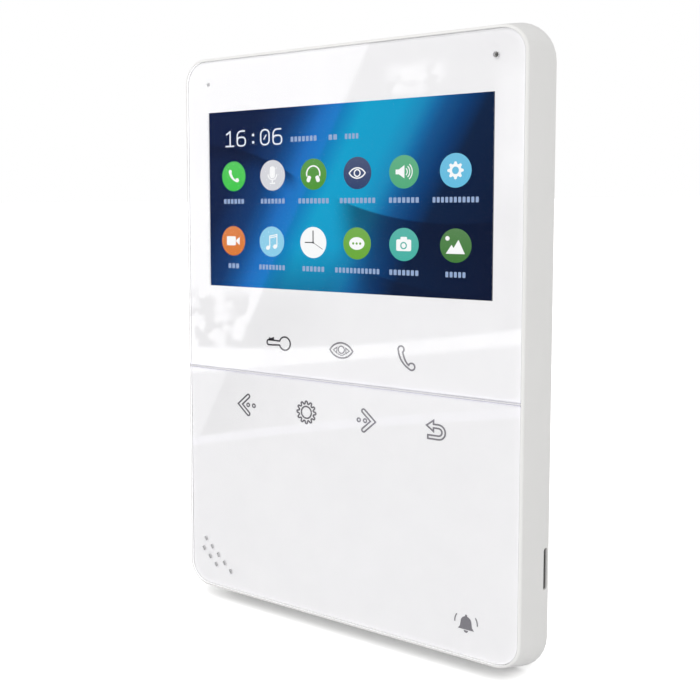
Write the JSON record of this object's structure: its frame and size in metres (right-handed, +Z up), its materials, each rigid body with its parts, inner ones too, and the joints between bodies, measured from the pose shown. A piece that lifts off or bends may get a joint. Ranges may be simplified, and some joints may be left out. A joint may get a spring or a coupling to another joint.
{
  "type": "video intercom monitor",
  "caption": "Slim wall-mounted video intercom monitor: white casing, landscape display above printed touch keys, corner speaker slots, side memory card slot, slide-on wall bracket.",
  "frame": {"origin": "on the wall plane, behind the middle of the casing's front face (the rear edge reaches 2.4 mm higher and 5.5 mm lower than the front edge)", "axes": "+Z up, +X to the right of someone facing the screen, +Y into the wall; the screen faces -Y"},
  "size_m": [0.1152, 0.016, 0.176],
  "materials": {
    "casing_white": "satin moulded ABS, fine spark texture",
    "clear_panel": "polished clear acrylic",
    "print_white": "white screen print seen through the panel",
    "screen": "polished display glass with a lit picture",
    "foam_black": "closed-cell foam",
    "rubber_black": "matt moulded rubber",
    "black_plastic": "fine matt",
    "steel": "bright pressed steel",
    "zinc_steel": "zinc-plated pressed steel",
    "spring_steel": "drawn wire",
    "screw_steel": "zinc-plated",
    "diffuser": "translucent milk-white film",
    "light_guide_clear": "polished clear acrylic",
    "board_green": "green solder mask",
    "flex_amber": "amber polyimide film",
    "ferrite": "dark sintered ferrite",
    "capacitor_can": "drawn aluminium can",
    "nylon_white": "unpainted nylon",
    "cone_black": "pressed paper",
    "card_black": "fine matt",
    "knob_black": "fine matt"
  },
  "bodies": {
    "bracket": {"wall_bracket": "zinc_steel"},
    "monitor": {"front_casing": "casing_white", "rear_casing": "casing_white", "upper_panel": "clear_panel", "lower_panel": "clear_panel", "upper_print_film": "print_white", "lower_print_film": "print_white", "lcd_gasket": "foam_black", "lcd_panel": "screen", "lcd_frame": "steel", "diffuser_sheet": "diffuser", "light_guide": "light_guide_clear", "led_strip": "nylon_white", "backlight_plate": "steel", "lcd_ribbon": "flex_amber", "lcd_cushion_left": "foam_black", "lcd_cushion_right": "foam_black", "main_board": "board_green", "processor": "black_plastic", "memory_chip": "black_plastic", "power_inductor": "ferrite", "bulk_capacitor": "capacitor_can", "status_led": "nylon_white", "status_light_pipe": "light_guide_clear", "microphone": "steel", "microphone_boot": "rubber_black", "key_board": "board_green", "touch_controller": "black_plastic", "key_ribbon": "flex_amber", "speaker_frame": "steel", "speaker_cone": "cone_black", "speaker_magnet": "steel", "speaker_gasket": "foam_black", "speaker_cable": "rubber_black", "card_board": "board_green", "card_socket": "steel", "card_ribbon": "flex_amber", "door_socket_1": "nylon_white", "door_socket_2": "nylon_white", "power_socket": "nylon_white", "switch_body": "steel", "touch_spring_unlock": "spring_steel", "touch_spring_view": "spring_steel", "touch_spring_talk": "spring_steel", "touch_spring_previous": "spring_steel", "touch_spring_settings": "spring_steel", "touch_spring_next": "spring_steel", "touch_spring_back": "spring_steel", "case_screw_1": "screw_steel", "case_screw_2": "screw_steel", "case_screw_3": "screw_steel", "case_screw_4": "screw_steel", "board_screw_1": "screw_steel", "board_screw_2": "screw_steel", "board_screw_3": "screw_steel", "board_screw_4": "screw_steel", "board_screw_5": "screw_steel"},
    "card": {"memory_card": "card_black"},
    "switch": {"switch_knob": "knob_black"}
  },
  "joints": [
    {"name": "monitor_lift", "type": "slide", "parent": "bracket", "child": "monitor", "axis": [0, 0, 1], "range_m": [0, 0.005]},
    {"name": "card_slide", "type": "slide", "parent": "monitor", "child": "card", "axis": [1, 0, 0], "range_m": [-0.0008, 0.0145]},
    {"name": "switch_slide", "type": "slide", "parent": "monitor", "child": "switch", "axis": [0, 0, 1], "range_m": [-0.001, 0.001]}
  ]
}
